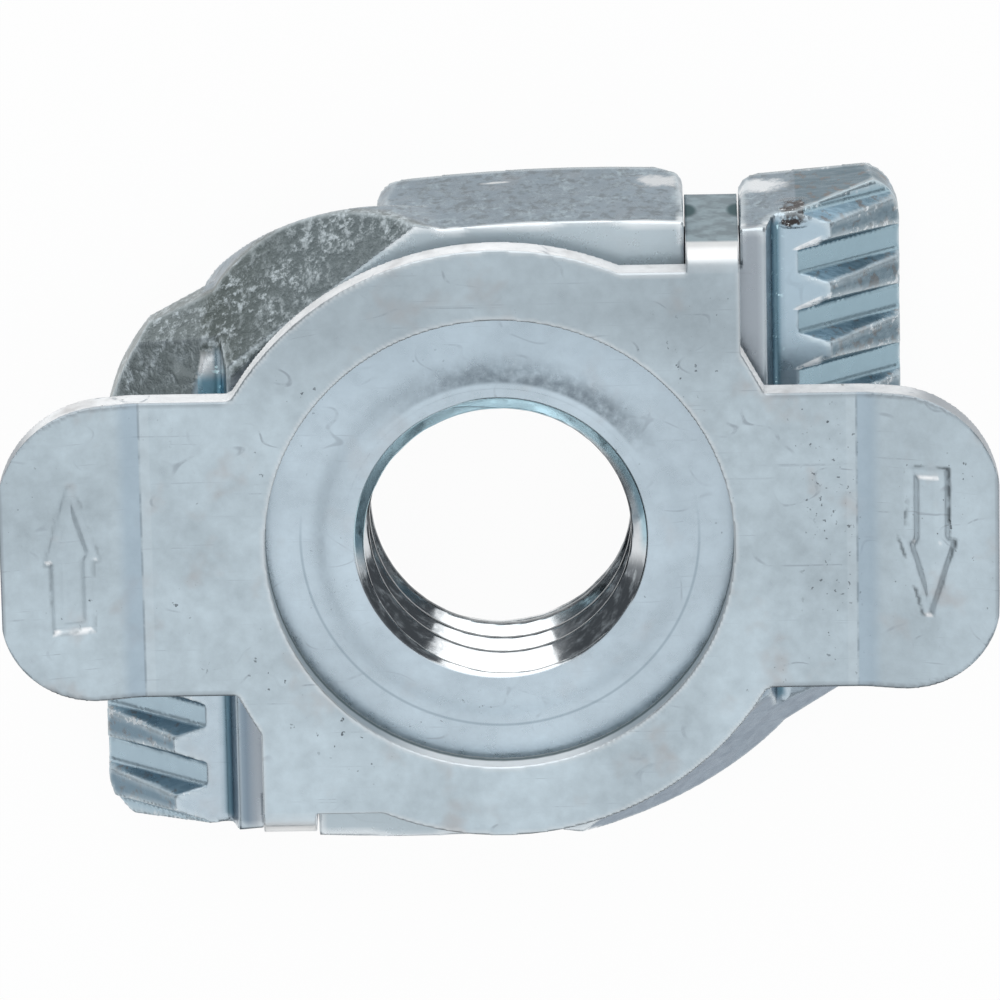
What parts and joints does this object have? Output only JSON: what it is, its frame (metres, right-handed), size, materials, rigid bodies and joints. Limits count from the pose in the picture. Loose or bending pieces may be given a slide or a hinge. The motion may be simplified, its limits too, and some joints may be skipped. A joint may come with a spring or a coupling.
{
  "type": "dovetail nut",
  "caption": "Zinc-plated dovetail nut for a slotted rail: a pressed steel body with a threaded hole and toothed dovetail flanges, and a crimped sheet plate with bent wings.",
  "frame": {"origin": "middle of the rear face, on the axis of the threaded hole", "axes": "+X along the wings, +Y across the body, the way the rail's slot runs once the nut is turned in, +Z along the hole's axis and out of the front"},
  "size_m": [0.033, 0.022, 0.0079],
  "materials": {
    "body_zinc": "bright zinc plating, dented on the pressed corners",
    "plate_zinc": "bright zinc plating, smooth with fine scratches"
  },
  "bodies": {
    "root": {"nut_body": "body_zinc", "wing_plate": "plate_zinc"}
  },
  "joints": []
}
